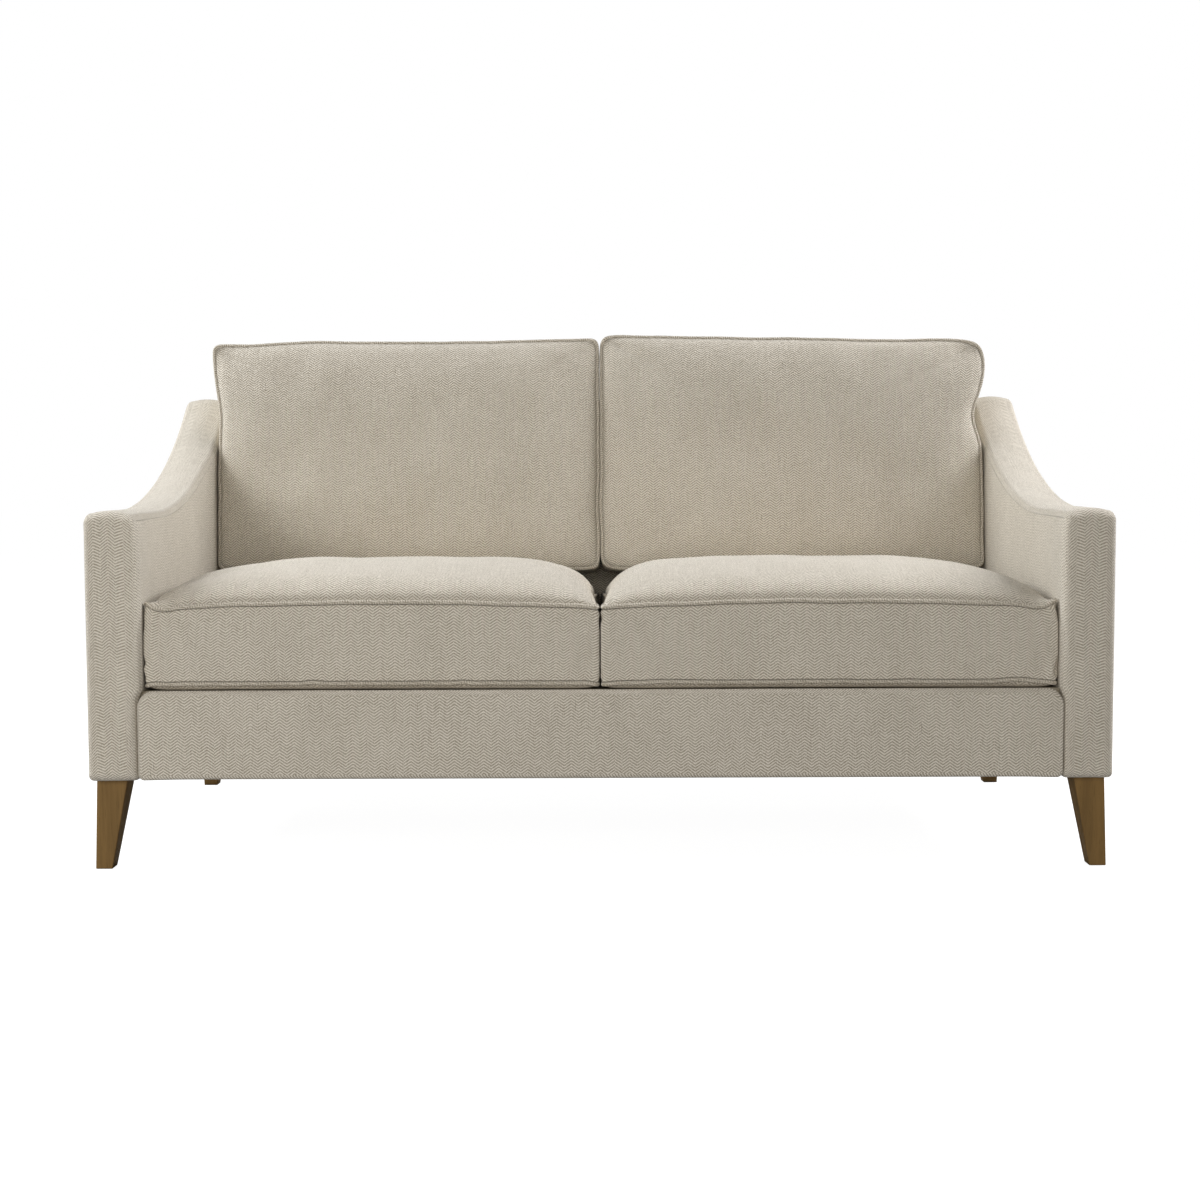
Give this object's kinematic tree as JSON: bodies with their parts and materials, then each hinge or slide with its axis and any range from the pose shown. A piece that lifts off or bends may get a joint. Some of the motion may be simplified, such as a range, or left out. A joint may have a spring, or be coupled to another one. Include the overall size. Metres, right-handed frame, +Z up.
{
  "type": "high back settee",
  "caption": "Upholstered settee with slim arms that sweep up to the back, loose piped seat and back cushions, and tapered, splayed wooden legs.",
  "frame": {"origin": "on the floor, under the middle of the settee's bounding box", "axes": "+Z up, +X across the settee towards the right-hand arm as seen from the front, +Y towards the back"},
  "size_m": [1.72, 0.915, 0.9526],
  "materials": {
    "upholstery": "matte",
    "leg_wood": "satin",
    "frame_wood": "matte",
    "steel": "satin",
    "foam": "matte",
    "lining": "matte",
    "webbing": "matte",
    "zip": "matte"
  },
  "bodies": {
    "frame": {"front_arm_post_left": "frame_wood", "front_arm_post_right": "frame_wood", "arm_top_rail_left": "frame_wood", "arm_top_rail_right": "frame_wood", "back_post_left": "frame_wood", "back_post_right": "frame_wood", "side_seat_rail_left": "frame_wood", "side_seat_rail_right": "frame_wood", "front_seat_rail": "frame_wood", "rear_seat_rail": "frame_wood", "centre_seat_rail": "frame_wood", "corner_block_front_left": "frame_wood", "corner_block_front_right": "frame_wood", "corner_block_rear_left": "frame_wood", "corner_block_rear_right": "frame_wood", "back_top_rail": "frame_wood", "back_lower_rail": "frame_wood", "back_centre_stile": "frame_wood", "leg_front_left": "leg_wood", "leg_front_right": "leg_wood", "leg_rear_left": "leg_wood", "leg_rear_right": "leg_wood", "hanger_bolt_front_left": "steel", "hanger_bolt_front_right": "steel", "hanger_bolt_rear_left": "steel", "hanger_bolt_rear_right": "steel", "seat_spring_1": "steel", "seat_spring_2": "steel", "seat_spring_3": "steel", "seat_spring_4": "steel", "seat_spring_5": "steel", "seat_spring_6": "steel", "seat_spring_7": "steel", "seat_spring_8": "steel", "seat_spring_9": "steel", "seat_spring_10": "steel", "seat_platform": "lining", "back_webbing": "webbing", "arm_padding_left": "foam", "arm_padding_right": "foam", "inside_back_foam": "foam", "arm_cover_left": "upholstery", "arm_cover_right": "upholstery", "front_border": "upholstery", "inside_back_cover": "upholstery", "outside_back_cover": "upholstery", "dust_cover": "lining"},
    "seat_cushion_left": {"seat_cushion_cover_left": "upholstery", "seat_cushion_core_left": "foam", "seat_cushion_zip_left": "zip"},
    "seat_cushion_right": {"seat_cushion_cover_right": "upholstery", "seat_cushion_core_right": "foam", "seat_cushion_zip_right": "zip"},
    "back_cushion_left": {"back_cushion_cover_left": "upholstery", "back_cushion_core_left": "foam", "back_cushion_zip_left": "zip"},
    "back_cushion_right": {"back_cushion_cover_right": "upholstery", "back_cushion_core_right": "foam", "back_cushion_zip_right": "zip"}
  },
  "joints": [
    {"name": "seat_cushion_left_slide", "type": "slide", "parent": "frame", "child": "seat_cushion_left", "axis": [0, -0.9994, 0.0349], "range_m": [0, 0.73]},
    {"name": "seat_cushion_right_slide", "type": "slide", "parent": "frame", "child": "seat_cushion_right", "axis": [0, -0.9994, 0.0349], "range_m": [0, 0.73]},
    {"name": "back_cushion_left_lift", "type": "slide", "parent": "frame", "child": "back_cushion_left", "axis": [0, 0.1097, 0.994], "range_m": [0, 0.4]},
    {"name": "back_cushion_right_lift", "type": "slide", "parent": "frame", "child": "back_cushion_right", "axis": [0, 0.1097, 0.994], "range_m": [0, 0.4]}
  ]
}
